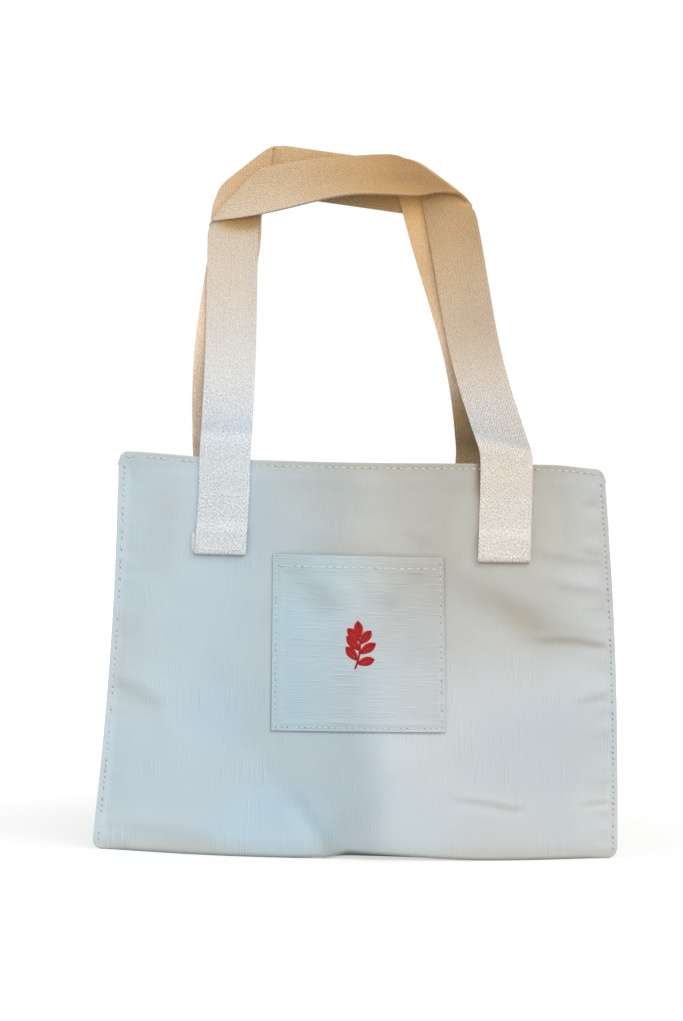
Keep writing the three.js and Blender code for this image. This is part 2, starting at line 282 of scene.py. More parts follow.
def crease_lift(crease, x, z):
    t, strength = crease_near(crease, x, z)
    _, _, valley, roll = crease
    return strength * (roll * t - valley * math.exp(-VALLEY_GRADE * t * t))


def crease_tint(side, x, z):
    """How much a place is shaded by the folds round it, from 0 to 1."""
    shades = [crease_near(c, x / MM, z / MM)[1] ** 3 * abs(c[3]) / 4 for c in CREASES[side]]
    return min(sum(shades), 1.0)


def folds(side, x, z):
    """What creases, drift and puckers add to a smooth face."""
    inset = half_width(min(z, BAG_HEIGHT)) - abs(x)
    below_top = BAG_HEIGHT - z
    calm = rise(inset, 4, 7) * mix(0.4, 1, rise(below_top, 6, 16))
    slack = sum(crease_lift(c, x / MM, z / MM) for c in CREASES[side]) * MM
    drift = DRIFT * noise.noise((x * 13, z * 13, side * 7.3))
    drift += FINE_DRIFT * noise.noise((x * 40, z * 36, side * 3.1))
    edge = 1 if x > 0 else -1
    seam = rise(inset, 4, 4) * bell(inset, 17 * MM)
    draw = noise.noise((z * 105, side * 5.7, edge * 9.2 + x * 9))
    draw += 0.5 * noise.noise((z * 210, side * 4.1, edge * 2.2))
    pucker = (DRAWN_PUCKER if edge * side < 0 else SEWN_PUCKER) * seam * draw
    pucker += HEM_PUCKER * bell(below_top - 15 * MM, 6 * MM) * noise.noise((x * 110, side * 2.9, 4.4))
    return calm * (slack + drift * MM) + pucker * MM


def face_depth(side, x, z):
    return outer_depth(x, z) + folds(side, x, z)


def settle(side, x, z):
    """Where a place on a true face ends up on the standing bag."""
    u = x / half_width(z)
    bow = SIDE_BOW * math.sin(math.pi * clamp(z / BAG_HEIGHT)) * abs(u) ** 3
    top = smooth((z - 0.6 * BAG_HEIGHT) / (0.4 * BAG_HEIGHT))
    lift = LEFT_LIFT * smooth((-u - 0.5) / 0.5) - RIGHT_DROP * smooth((u - 0.78) / 0.22)
    lift -= MIDDLE_DROP * (1 - smooth(abs(u + 0.05) / 0.7))
    return x + bow, z + top * lift + base_kink(side, x) * (1 - rise(z, 0, 45))


def base_kink(side, x):
    if side == BACK:
        return 0.0
    return KINK_LIFT * rise(x - KINK_X, -9, 20) * (1 - rise(x - KINK_X, 0, 115))


def cloth_point(side, x, z, off=0.0):
    """A point over a place on a face, standing off it."""
    px, pz = settle(side, x, z)
    return Vector((px, side * (face_depth(side, x, z) + off), pz))


# Making a piece

def alone(piece):
    bpy.ops.object.select_all(action="DESELECT")
    piece.select_set(True)
    bpy.context.view_layer.objects.active = piece


def placed(name, data):
    thing = bpy.data.objects.new(name, data)
    bpy.context.scene.collection.objects.link(thing)
    return thing


def cloth_grid(name, points, flat):
    """A grid of cloth: points[row][column] is its place and flat[row][column] its place on the uncut cloth."""
    rows, columns = len(points) - 1, len(points[0]) - 1
    bpy.ops.mesh.primitive_grid_add(x_subdivisions=columns, y_subdivisions=rows, size=2)
    piece = bpy.context.object
    piece.name = piece.data.name = name
    spots = []
    for v in piece.data.vertices:
        spot = (round((v.co.y + 1) / 2 * rows), round((v.co.x + 1) / 2 * columns))
        spots.append(spot)
        v.co = points[spot[0]][spot[1]]
    layer = piece.data.uv_layers[0]
    layer.name = "cloth"
    for loop in piece.data.loops:
        row, column = spots[loop.vertex_index]
        layer.data[loop.index].uv = flat[row][column]
    return piece, spots


def mark(piece, name, values):
    """Gives each vertex a value that a finish reads."""
    layer = piece.data.attributes.new(name, "FLOAT", "POINT")
    layer.data.foreach_set("value", values)


def apply_modifier(piece, kind, **settings):
    alone(piece)
    modifier = piece.modifiers.new(kind.title(), kind)
    for key, value in settings.items():
        setattr(modifier, key, value)
    bpy.ops.object.modifier_apply(modifier=modifier.name)


def thicken(piece, thickness, offset, edge, thin=None):
    """Gives a grid of cloth its thickness and rounds its edges. thin: the share of the thickness at each vertex."""
    settings = {"thickness": thickness, "offset": offset, "use_even_offset": False, "use_quality_normals": True}
    if thin is not None:
        group = piece.vertex_groups.new(name="layers")
        for index, share in enumerate(thin):
            group.add([index], share, "REPLACE")
        settings["vertex_group"] = "layers"
    apply_modifier(piece, "SOLIDIFY", **settings)
    apply_modifier(piece, "BEVEL", width=edge, segments=2, limit_method="ANGLE", angle_limit=math.radians(55))
    alone(piece)
    bpy.ops.object.shade_smooth_by_angle(angle=math.radians(60))
    piece.vertex_groups.clear()


# Finishes

class Reading:
    """A value that runs through a finish. Arithmetic on it adds Math nodes."""

    def __init__(self, finish, socket):
        self.finish, self.socket = finish, socket

    def math(self, operation, *values):
        return self.finish.node("ShaderNodeMath", {"operation": operation}, dict(enumerate(values)))

    def __add__(self, other):
        return self.math("ADD", self, other)

    def __sub__(self, other):
        return self.math("SUBTRACT", self, other)

    def __rsub__(self, other):
        return self.math("SUBTRACT", other, self)

    def __mul__(self, other):
        return self.math("MULTIPLY", self, other)

    __radd__ = __add__
    __rmul__ = __mul__

    def sine(self):
        return self.math("SINE", self)

    def size(self):
        return self.math("ABSOLUTE", self)

    def between(self, low, high):
        """0 below low, 1 above high, smooth between them."""
        return self.finish.node(
            "ShaderNodeMapRange", {"interpolation_type": "SMOOTHSTEP"}, {0: self, 1: low, 2: high, 3: 0.0, 4: 1.0}
        )


class Finish:
    """The nodes of one kind of cloth or thread, or of the studio's floor and air."""

    def __init__(self, owner, surface="Principled BSDF"):
        owner.use_nodes = True
        self.owner, self.tree = owner, owner.node_tree
        self.surface = self.tree.nodes[surface]

    def node(self, kind, settings, sockets, output=0):
        made = self.tree.nodes.new(kind)
        for key, value in settings.items():
            if key == "stops":
                ramp = made.color_ramp
                while len(ramp.elements) < len(value):
                    ramp.elements.new(0.5)
                for element, (place, colour) in zip(ramp.elements, value):
                    element.position = place
                    element.color = (*colour, 1)
            else:
                setattr(made, key, value)
        for key, value in sockets.items():
            self.put(made.inputs[key], value)
        return Reading(self, made.outputs[output])

    def put(self, socket, value):
        if isinstance(value, Reading):
            self.tree.links.new(value.socket, socket)
        elif isinstance(value, tuple) and socket.type == "RGBA":
            socket.default_value = (*value, 1)
        else:
            socket.default_value = value

    def set(self, **values):
        for key, value in values.items():
            self.put(self.surface.inputs[key.replace("_", " ").title().replace("Ior", "IOR")], value)

    def flat(self, layer):
        """The place on the uncut cloth, in metres, or on a thread: across it and along it."""
        return self.split(self.node("ShaderNodeUVMap", {"uv_map": layer}, {}))[:2]

    def marked(self, name):
        """The value that a piece's vertices are marked with."""
        return self.node("ShaderNodeAttribute", {"attribute_name": name}, {}, output="Fac")

    def split(self, vector):
        parts = self.tree.nodes.new("ShaderNodeSeparateXYZ")
        self.put(parts.inputs[0], vector)
        return [Reading(self, s) for s in parts.outputs]

    def place(self):
        return self.split(self.node("ShaderNodeTexCoord", {}, {}, output="Object"))

    def looked_at(self):
        """1 for what is seen, straight or mirrored, and 0 for what only sends light on."""
        seen, glossy, through = (
            self.node("ShaderNodeLightPath", {}, {}, output=f"Is {kind} Ray")
            for kind in ("Camera", "Glossy", "Transmission")
        )
        return seen.math("MINIMUM", seen + glossy + through, 1.0)

    def stretched_noise(self, a, b, detail=2.0, c=0.0):
        """Noise from 0 to 1 at two scaled coordinates."""
        at = self.node("ShaderNodeCombineXYZ", {}, {0: a, 1: b, 2: c})
        grain = {"Vector": at, "Scale": 1.0, "Detail": detail, "Roughness": 0.55}
        return self.node("ShaderNodeTexNoise", {}, grain)

    def blend(self, factor, a, b, how="MIX"):
        return self.node(
            "ShaderNodeMix", {"data_type": "RGBA", "blend_type": how}, {0: factor, 6: a, 7: b}, output=2
        )

    def shade(self, colour, amount):
        """A colour made lighter or darker by a value around 1."""
        return self.node("ShaderNodeVectorMath", {"operation": "SCALE"}, {0: colour, "Scale": amount})

    def bump(self, height, distance):
        bumps = {"Strength": 1.0, "Distance": distance, "Height": height}
        self.set(normal=self.node("ShaderNodeBump", {}, bumps))


# Spacing of the threads
CANVAS_RIB, CANVAS_PICK, DASH_WIDTH = 1.05 * MM, 0.9 * MM, 0.9 * MM
WEBBING_WEFT, WEBBING_WARP, WEBBING_RIB = 2.2 * MM, 3.1 * MM, 2.4 * MM

# Colours of the cloth, and tints that dim or light them. The cool cloth is painted cool light and the warm cloth
# painted warm shade, the fold tint painted brown shade, the sky cloth a painted highlight, and the pocket's cool
# and top tints painted cool light and painted warm light.
COOL_LIGHT_CLOTH = (0.585, 0.69, 0.755)
PALE_CLOTH = (0.615, 0.645, 0.66)
WARM_SHADE_CLOTH = (0.475, 0.467, 0.425)
FOLD_SHADE = (0.90, 0.81, 0.70)
SKY_HIGHLIGHT = (0.57, 0.725, 0.82)
STRAP_SHADE = (0.74, 0.66, 0.56)
COOL_LIGHT_TINT = (0.87, 0.975, 1.0)
POCKET_TOP_WARM_LIGHT = (0.995, 0.965, 0.92)
HEM_TINT = (0.955, 0.93, 0.885)

# Soft ovals of painted light and shade on the front and on the pocket, in mm: middle, reach across and up, and tint
SKY_HIGHLIGHT_PATCH = ((-60, 25), (50, 100 / 3))
FRONT_SHADES = (
    ((-100, 150), (46, 70), (0.935, 0.968, 0.982)),
    ((-76, 70), (100, 60), (0.955, 0.985, 1.0)),
    ((-86, 252), (26, 44), (0.955, 0.978, 0.995)),
    ((-34, 282), (50, 28), (1.0, 0.985, 0.95)),
    ((132, 250), (22, 38), (1.075, 1.07, 1.06)),
    ((130, 213), (58, 22), (1.065, 1.085, 1.11)),
    ((80, 246), (15, 34), (1.06, 1.075, 1.08)),
    ((150, 82), (90, 40), (0.95, 0.97, 0.995)),
    ((-58, 40), (42, 52), (1.04, 1.04, 1.035)),
    ((10, 240), (36, 18), (1.05, 1.05, 1.05)),
    ((188, 40), (30, 45), (1.05, 1.045, 1.03)),
    ((-176, 14), (36, 22), (1.05, 1.04, 1.03)),
    ((-12, 14), (13, 20), (0.96, 0.968, 0.955)),
)
POCKET_SHADES = (
    ((31, 213), (18, 14), (0.94, 0.93, 0.905)),
    ((56, 203), (18, 22), (0.96, 0.95, 0.94)),
    ((-58, 222), (26, 15), (0.965, 0.945, 0.94)),
    ((-10, 193), (15, 18), (1.055, 1.035, 1.02)),
    ((-30, 192), (13, 16), (0.995, 0.965, 0.96)),
    ((47, 156), (28, 26), (1.0, 1.03, 1.045)),
)


def ribs(at, spacing, stray):
    """A wave over threads at a spacing, which stray from their line."""
    return (at * (2 * math.pi / spacing) + stray).sine()


def canvas_finish(name, quarter_turn):
    """Slubby plain-weave canvas. Its ribs run up the cloth, or across it on the pocket, after a quarter turn.

    It is cooler, warmer or dimmer by its place on the bag, x across and z up in metres, as painted light and shade.
    """
    finish = Finish(bpy.data.materials.new(name))
    across, along = finish.flat("cloth")
    if quarter_turn:
        across, along = along, across
    x, y, z = finish.place()

    def dashes(across):
        return finish.stretched_noise(across * 860, along * 38, detail=1.0, c=8.0).between(0.56, 0.72)

    def from_middle(middle, reach):
        """Square of the distance from the middle of an oval on a face: 1 at its rim."""
        a, b = ((at - m * MM) * (1 / (r * MM)) for at, m, r in zip((x, z), middle, reach))
        return a * a + b * b

    wander = finish.stretched_noise(across * 300, along * 60, detail=1.0, c=3.0)
    rib = ribs(across, CANVAS_RIB, wander * 9)
    pick = ribs(along, CANVAS_PICK, wander * 7)
    slub = finish.stretched_noise(across * 900, along * 55)
    dash, gap = dashes(across), dashes(across + DASH_WIDTH)
    patchy = finish.stretched_noise(across * 20, along * 20, detail=1.0, c=6.0).between(0.4, 0.64)
    fleck = finish.stretched_noise(across * 1500, along * 700, detail=1.0, c=5.0)
    mottle = finish.stretched_noise(x * 14, z * 14, detail=3.0, c=1.7)

    drift = (mottle - 0.5) * 0.09
    blotch = finish.stretched_noise(x * 11, z * 11, detail=1.0, c=4.0)
    at = x + drift
    right = at.between(-0.05, 0.11) + (blotch - 0.5) * 1.3
    upper = (z + drift).between(0.10, 0.22)
    front = y.between(0.0003, -0.0003)
    # Painted shadow over the lower middle of the front, and painted shade below the pocket.
    dim = at.between(-0.14, -0.05) * (x + drift * 0.5 + z * 0.1).between(0.04, 0.0) * front
    under = (x + z * 0.7).between(-0.03, -0.01) * x.between(0.026, 0.006) * z.between(0.12, 0.05) * front
    # Painted cool light on the left, fading in blotches to the pale cloth, then painted warm shade at the upper
    # right.
    colour = finish.blend(right, COOL_LIGHT_CLOTH, PALE_CLOTH)
    warm = at.between(-0.01, 0.06) * 0.7 if quarter_turn else at.between(-0.11, 0.07)
    warm = warm * (1 - x.between(0.13, 0.18) * 0.6) * (front * 0.7 + 0.3)
    colour = finish.blend(warm * upper, colour, WARM_SHADE_CLOTH)
    # Painted brown shade in the creases, towards the sides.
    fold = finish.marked("tint") * x.size().between(0.06, 0.11) * (front * 0.5 + 0.5)
    colour = finish.blend(fold, colour, FOLD_SHADE, "MULTIPLY")
    # A painted highlight of cool sky light, low on the front, left of the middle.
    colour = finish.blend(from_middle(*SKY_HIGHLIGHT_PATCH).between(1.2, 0.2) * front, colour, SKY_HIGHLIGHT)
    relief = dash - gap if quarter_turn else (dash - gap) * patchy * (1 - upper * 0.6)
    tone = (slub - 0.5) * (0.11 if quarter_turn else 0.035) + relief * 0.09 + rib * 0.006
    # The painted shadow and shade darken the cloth there, and painted shade darkens the upper left.
    tone = tone - dim * 0.12 - under * 0.05 - upper * x.between(-0.05, -0.11) * 0.05
    tone = tone + (fleck - 0.5) * 0.05 + (mottle - 0.5) * 0.07 + (0.92 if quarter_turn else 0.98)
    if quarter_turn:
        # On the pocket: painted cool light on its left and painted warm light at its top; a little darker at its
        # foot and lighter near its mouth, as painted shade and light.
        cool = x.between(0.01, -0.05)
        colour = finish.blend(cool, colour, COOL_LIGHT_TINT, "MULTIPLY")
        colour = finish.blend(z.between(0.175, 0.205), colour, POCKET_TOP_WARM_LIGHT, "MULTIPLY")
        tone = tone + cool * 0.08 - z.between(0.12, 0.10) * 0.02 + z.between(0.19, 0.215) * 0.02
    else:
        # A painted shadow line beside the pocket's left side and foot.
        tone = tone - pocket_edge_shadow(x, y, z) * 0.16
        # Painted shadow beside the right strap's sewn end, deepest at the mouth.
        beside_strap = x.between(0.081, 0.0895) * x.between(0.098, 0.0905) * y.between(-0.005, -0.012)
        at_mouth = x.between(0.079, 0.0875) * z.between(0.264, 0.288) * beside_strap
        colour = finish.blend(beside_strap * z.between(0.225, 0.235) * 0.5, colour, STRAP_SHADE, "MULTIPLY")
        for _ in range(2):
            colour = finish.blend(at_mouth, colour, STRAP_SHADE, "MULTIPLY")
        # Painted brown shade along the bottom fold of the front, in blotches.
        bottom_shade = z.between(0.016, 0.0) * (blotch + 0.2) * front
        colour = finish.blend(bottom_shade, colour, FOLD_SHADE, "MULTIPLY")
        colour = finish.blend(z.between(0.284, 0.292) * front, colour, HEM_TINT, "MULTIPLY")
    # Soft ovals of painted light and shade.
    for middle, reach, tint in POCKET_SHADES if quarter_turn else FRONT_SHADES:
        near = from_middle(middle, reach).between(1.3, 0.2) * front
        colour = finish.blend(near, colour, tint, "MULTIPLY")
    finish.set(
        base_color=finish.shade(colour, tone), roughness=0.9 - (slub - 0.5) * 0.12, specular_ior_level=0.22,
        sheen_weight=0.1,
    )
    slubs = (slub - 0.5) * (2.2 if quarter_turn else 1.2)
    finish.bump(rib * 0.2 + pick * 0.15 + slubs + dash * patchy, distance=0.1 * MM)
    return finish.owner


def pocket_edge_shadow(x, y, z):
    """A thin painted shadow line on the front face, in the angle at the left side and the foot of the pocket."""
    left = -1 * x - POCKET_WIDTH / 2
    out = left.math("MAXIMUM", left, POCKET_FOOT - z)
    here = y.between(-0.012, -0.02) * z.between(POCKET_MOUTH + 0.004, POCKET_MOUTH - 0.004)
    return out.between(0.0011, 0.0002) * x.between(POCKET_WIDTH / 2 + 0.002, POCKET_WIDTH / 2 - 0.004) * here


# Colours of the two handles, from cream webbing to tan: painted warm light, the front's cream end a little cool as
# painted cool light. The back handle's are lighter, as painted light in the shade it stands in.
FRONT_TAN = (
    (0.0, (0.672, 0.715, 0.74)),
    (0.33, (0.69, 0.615, 0.535)),
    (0.6, (0.63, 0.49, 0.345)),
    (0.8, (0.53, 0.36, 0.20)),
    (0.93, (0.455, 0.275, 0.118)),
    (1.0, (0.365, 0.215, 0.094)),
)
BACK_TAN = (
    (0.0, (0.70, 0.70, 0.67)),
    (0.33, (0.88, 0.69, 0.53)),
    (0.6, (0.66, 0.47, 0.305)),
    (0.78, (0.575, 0.38, 0.20)),
    (1.0, (0.69, 0.36, 0.078)),
)


def webbing_finish(name, tan, shadow):
    """Coarse cotton webbing, cream at the sewn ends and tan towards the top as painted warm light, with painted
    shade and light where marked.
    """
    finish = Finish(bpy.data.materials.new(name))
    across, along = finish.flat("cloth")
    grip, shade = finish.marked("grip"), finish.marked("shade")
    wander = finish.stretched_noise(across * 420, along * 420)
    weft, warp = ribs(across, WEBBING_WEFT, wander * 9), ribs(along, WEBBING_WARP, wander * 9)
    gaps = (weft * warp).between(0.1, -0.8)
    knots = finish.stretched_noise(across * 760, along * 620, detail=1.0, c=9.0)
    stain = finish.stretched_noise(across * 35, along * 16, detail=3.0, c=2.0)
    fleck = finish.stretched_noise(across * 1100, along * 900, c=6.0)
    tint = grip + (stain - 0.5) * 0.16
    colour = finish.node("ShaderNodeValToRGB", {"stops": tan}, {0: tint})
    selvedge = ((across - STRAP_WIDTH / 2).size() * (2 / STRAP_WIDTH)).between(0.86, 1.0)
    rib = ribs(across, WEBBING_RIB, wander * 5)
    fresh = finish.place()[2].between(0.38, 0.33) * 0.4 + 0.68
    grain = ((knots - 0.5) * 0.6 + (fleck - 0.5) * 0.4 - gaps * 0.28) * fresh
    tone = 1.06 + grain + rib * grip * 0.05 + selvedge * 0.03
    colour = finish.blend(shade, colour, shadow, "MULTIPLY")
    tone = tone + shade.math("MAXIMUM", shade * -1, 0.0) * 0.45
    finish.set(
        base_color=finish.shade(colour, tone), roughness=0.92 - (1 - gaps) * 0.06, specular_ior_level=0.2,
        sheen_weight=0.1,
    )
    knobs = ((knots - 0.5) * 1.6 + (fleck - 0.5) * 0.6 - gaps) * fresh
    finish.bump(knobs + rib * grip * 0.3, distance=0.14 * MM)
    return finish.owner


def thread_finish(name, colour, sunk, roughness):
    """Twisted thread, with painted shade where it goes down into the cloth."""
    finish = Finish(bpy.data.materials.new(name))
    around, along = finish.flat("thread")
    twist = ribs(around, 1, along * 22)
    ends = ((along - 0.5).size() * 2).between(0.62, 0.98)
    x, y, z = finish.place()
    dye = finish.stretched_noise(x * 260, z * 260, c=0.4)
    shade = finish.blend(ends, colour, sunk)
    tone = 1.0 + twist * 0.07 + (dye - 0.5) * 0.22
    finish.set(
        base_color=finish.shade(shade, tone), roughness=roughness + (dye - 0.5) * 0.2, specular_ior_level=0.2
    )
    finish.bump(twist, distance=0.06 * MM)
    return finish.owner


body_canvas = canvas_finish("body_canvas", False)
pocket_canvas = canvas_finish("pocket_canvas", True)
front_webbing = webbing_finish("front_webbing", FRONT_TAN, (0.89, 0.92, 0.98))
back_webbing = webbing_finish("back_webbing", BACK_TAN, (0.50, 0.53, 0.58))
# Each thread's second colour is the painted shade at its ends.
pale_thread = thread_finish("pale_thread", (0.70, 0.72, 0.71), (0.30, 0.32, 0.32), 0.62)
cream_thread = thread_finish("cream_thread", (0.84, 0.83, 0.79), (0.42, 0.39, 0.35), 0.65)
red_thread = thread_finish("red_thread", (0.42, 0.012, 0.011), (0.22, 0.006, 0.006), 0.5)
# Each needle hole, and each long hole of the drawn seam, is a dark dimple of painted shade.
needle_hole_shade = thread_finish("needle_hole_shade", (0.19, 0.185, 0.175), (0.19, 0.185, 0.175), 0.95)
drawn_hole_shade = thread_finish("drawn_hole_shade", (0.33, 0.335, 0.32), (0.33, 0.335, 0.32), 0.95)


# The body

def corner_drop(inset, radius):
    short = max(radius - inset, 0)
    return radius - math.sqrt(radius * radius - short * short)


def fold_radius(u):
    tight = CANVAS + SHY
    room = clear_depth(u * half_width(0), 0) / (2 * BOTTOM_FOLD)
    return mix(tight, BOTTOM_FOLD, clamp(room))


# Steps of the grids: fine ones in from the edges, and how many between
EDGE_STEPS = [d * MM for d in (0, 0.8, 1.8, 2.9, 4.0, 5.1, 6.4, 8, 10, 12.2, 14.4, 16.8)]
TOP_STEPS = [d * MM for d in (17, 15.2, 13.6, 12.2, 11.4, 10, 8.4, 6.8, 5.3, 4.0, 2.8, 1.8, 1.0, 0.4, 0)]
FACE_COLUMNS, FACE_ROWS, FOLD_ROWS = 166, 132, 5
BASE_COLUMNS, BASE_ROWS = 120, 28
BASE_REACH = 0.97


def seam_dip(inset, below_top):
    """The cloth is drawn in along its rows of stitches."""
    near = min(abs(inset - STITCH_INSET), abs(below_top - STITCH_INSET))
    return -SEAM_DIP * bell(near, 1.3 * MM)


def face_cloth(name, side):
    """One face of the body, turned under at the bottom and hemmed at the mouth."""
    middle_half = half_width(BAG_HEIGHT / 2)
    edge = [1 - d / middle_half for d in EDGE_STEPS]
    stations = [-u for u in edge] + spread(-edge[-1], edge[-1], FACE_COLUMNS)[1:-1] + edge[::-1]
    if side == BACK:
        stations = stations[::-1]
    columns = []
    for u in stations:
        inset = (1 - abs(u)) * middle_half
        top = BAG_HEIGHT - corner_drop(inset, TOP_CORNER)
        fold = fold_radius(u)
        start = corner_drop(inset, BOTTOM_CORNER) + fold
        wall = face_depth(side, u * half_width(start), start)
        column = []
        for turn in spread(1, 1 / (FOLD_ROWS + 1), FOLD_ROWS):
            angle = turn * math.pi / 2
            z = start - fold * math.sin(angle)
            x, pz = settle(side, u * half_width(z), z)
            y = side * (wall - fold + fold * math.cos(angle))
            column.append((Vector((x, y, pz)), (x, start - fold * angle), 0.5))
        for z in spread(start, top - TOP_STEPS[0], FACE_ROWS)[:-1] + [top - d for d in TOP_STEPS]:
            x = u * half_width(z)
            below = top - z
            round_top = 0.25 * MM * clamp(1 - below / (0.6 * MM)) ** 2
            place = cloth_point(side, x, z, seam_dip(inset, below) - round_top)
            column.append((place, (x, z), 0.5 + (0.5 * HEM_PRESS if below < HEM_DEPTH else 0)))
        columns.append(column)
    points, flat, layers = ([[spot[k] for spot in row] for row in zip(*columns)] for k in range(3))
    piece, spots = cloth_grid(name, points, flat)
    mark(piece, "tint", [crease_tint(side, *flat[r][c]) for r, c in spots])
    thicken(piece, 2 * (CANVAS - SHY), -1, 0.42 * MM, [layers[r][c] for r, c in spots])
    piece.data.materials.append(body_canvas)
    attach(piece, "bag")
    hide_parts(name.replace("_cloth", "_panel"))
    return piece


def base_cloth():
    """The lens-shaped bottom, between the two turned-under edges."""
    def room(u):
        fold = fold_radius(u)
        return max(outer_depth(u * half_width(fold), fold) - fold - SEAM_GAP, 0.4 * MM)

    across, back = spread(-BASE_REACH, BASE_REACH, BASE_COLUMNS), spread(-1, 1, BASE_ROWS)
    flat = [[(u * half_width(0), w * room(u)) for u in across] for w in back]
    points = [
        [Vector((x, y, base_kink(FRONT, x) * max(-w, 0) ** 3)) for x, y in row] for w, row in zip(back, flat)
    ]
    piece, _ = cloth_grid("base_cloth", points, flat)
    thicken(piece, CANVAS, 1, 0.3 * MM)
    piece.data.materials.append(body_canvas)
    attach(piece, "bag")
    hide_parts("base_panel")


base_cloth()
front_cloth = face_cloth("front_cloth", FRONT)
face_cloth("back_cloth", BACK)


# The patch pocket

def pocket_place(u, w):
    """Place on the bag's front of a place on the pocket: u across from -1 to 1, w up from 0 to 1."""
    lower_left, lower_right, upper_left, upper_right = POCKET_CORNERS
    t = (u + 1) / 2
    skew = [
        mix(mix(a, b, t), mix(c, d, t), w) * MM
        for a, b, c, d in zip(lower_left, lower_right, upper_left, upper_right)
    ]
    return u * POCKET_WIDTH / 2 + skew[0], POCKET_FOOT + w * POCKET_HEIGHT + skew[1]


def pocket_border(u, w):
    """1 where the pocket's edge is turned under or hemmed, 0 in the single cloth between."""
    inset = min((1 - abs(u)) * POCKET_WIDTH / 2, w * POCKET_HEIGHT)
    below = (1 - w) * POCKET_HEIGHT
    return max(1 - rise(inset, 6.5, 3), 1 - rise(below - POCKET_HEM, 1.5, 3))


def pocket_off(u, w):
    """How far the outside of the pocket stands off the bag's face."""
    gape = POCKET_GAPE * (1 - u * u) * w ** 2.5
    ripple = 0.5 * noise.noise((u * 2.1, w * 2.3, 12.0))
    ripple += sum(crease_lift(c, u * POCKET_WIDTH / (2 * MM), w * POCKET_HEIGHT / MM) for c in POCKET_CREASES)
    ripple *= MM * (1 - u * u)
    inset = (1 - abs(u)) * POCKET_WIDTH / 2
    near = min(abs(inset - POCKET_STITCH), abs(w * POCKET_HEIGHT - POCKET_STITCH))
    near = min(near, abs((1 - w) * POCKET_HEIGHT - POCKET_HEM_STITCH))
    dip = -POCKET_DIP * bell(near, 1.1 * MM)
    slack = (gape + ripple + math.hypot(gape + ripple, 0.4 * MM)) / 2
    return POCKET_CLEARANCE + slack + dip + POCKET_CLOTH * (1 + pocket_border(u, w))


def pocket_point(u, w):
    return cloth_point(FRONT, *pocket_place(u, w), pocket_off(u, w))


def edge_spread(length, steps, count):
    """Shares of a length: fine steps in from both ends, even ones between."""
    ends = [d * MM / length for d in steps]
    return ends + spread(ends[-1], 1 - ends[-1], count)[1:-1] + [1 - d for d in ends[::-1]]


POCKET_STEPS = (0, 0.8, 1.8, 2.8, 3.8, 5, 6.5, 8, 9.5, 11)
POCKET_CELLS = 56


def pocket_cloth():
    across = [2 * t - 1 for t in edge_spread(POCKET_WIDTH, POCKET_STEPS, POCKET_CELLS)]
    up = edge_spread(POCKET_HEIGHT, POCKET_STEPS, POCKET_CELLS)
    points = [[pocket_point(u, w) for u in across] for w in up]
    flat = [[(u * POCKET_WIDTH / 2, w * POCKET_HEIGHT) for u in across] for w in up]
    piece, spots = cloth_grid("pocket_cloth", points, flat)
    layers = [mix(0.5, 1, pocket_border(across[c], up[r])) for r, c in spots]
    thicken(piece, 2 * POCKET_CLOTH, -1, 0.4 * MM, layers)
    piece.data.materials.append(pocket_canvas)
    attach(piece, "bag")
    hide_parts("patch_pocket")


pocket_cloth()


# The handles

TURN = (STRAP + LAYER_GAP) / 2
NEAR = STRAP_CLEARANCE + STRAP / 2
FAR = NEAR + 2 * TURN
STEP_FOOT = END_FOOT + STRAP / 2 + TURN_UNDER + 1 * MM
STEP_TOP = STEP_FOOT + 9 * MM
MITRE_RADIUS = (STRAP + MITRE_GAP) / 2
MITRE_LENGTH = math.pi * MITRE_RADIUS
POINT_DEPTH = 16 * MM
PEEK = 3.2 * MM
HIP_DROP = 36 * MM
HIP_REACH = 14 * MM

# How the span between the folds swells and is tucked up, in shares of its length: where that starts, over how much
SWELL_RISE, SWELL_FALL, SWELL_POWER = 0.6, 0.62, 2.4
TUCK_START, TUCK_END = (0.77, 0.15), (0.95, 0.1)

END_START = 2 * MM
END_STEPS, LEG_STEPS, MITRE_STEPS, SPAN_STEPS = 22, 72, 9, 52
STRAP_COLUMNS = 16


def end_off(z):
    """Middle of the upper layer of a sewn end, off the bag's face."""
    return mix(FAR, NEAR, smooth((z - STEP_FOOT) / (STEP_TOP - STEP_FOOT)))


def end_line():
    """A sewn end from the hinge to its tucked tip: distance off the face, height, distance along, share tucked."""
    foot = END_FOOT + STRAP / 2
    line = [(end_off(z), z) for z in spread(HINGE_Z - END_START, foot + TURN, END_STEPS)]
    for angle in spread(0, math.pi, 8)[1:]:
        line.append((NEAR + TURN + TURN * math.cos(angle), foot + TURN - TURN * math.sin(angle)))
    line += [(NEAR, z) for z in spread(foot + TURN, foot + TURN_UNDER, 5)[1:]]
    along = [END_START]
    for a, b in zip(line, line[1:]):
        along.append(along[-1] + math.dist(a, b))
    turned = along[END_STEPS]
    return [(off, z, d, smooth((d - turned) / (TURN_UNDER / 2))) for (off, z), d in zip(line, along)]


def fold_over(p, corner, crease, ahead, bulge):
    """A flat strip folded over at a crease. Beyond it the strip runs back behind itself."""
    off = p - corner
    normal = Vector((-crease.y, crease.x))
    normal *= math.copysign(1, normal.dot(ahead))
    past = off.dot(normal)
    if past <= 0:
        return p, 0.0
    foot = corner + crease * off.dot(crease)
    if past < MITRE_LENGTH:
        turned = past / MITRE_RADIUS
        return foot + normal * (bulge * MITRE_RADIUS * math.sin(turned)), MITRE_RADIUS * (1 - math.cos(turned))
    return foot + normal * (MITRE_LENGTH - past), 2 * MITRE_RADIUS


def knee_dip(leg, x, z):
    """How far a leg dips in at its knee, where it comes off the sewn end: sharply below, slowly above."""
    height, depth, slope = leg["knee"]
    above = z - BAG_HEIGHT - height - slope * (x - leg["foot"])
    return depth * (math.exp(-above / (15 * MM)) if above > 0 else bell(above, 4.5 * MM))


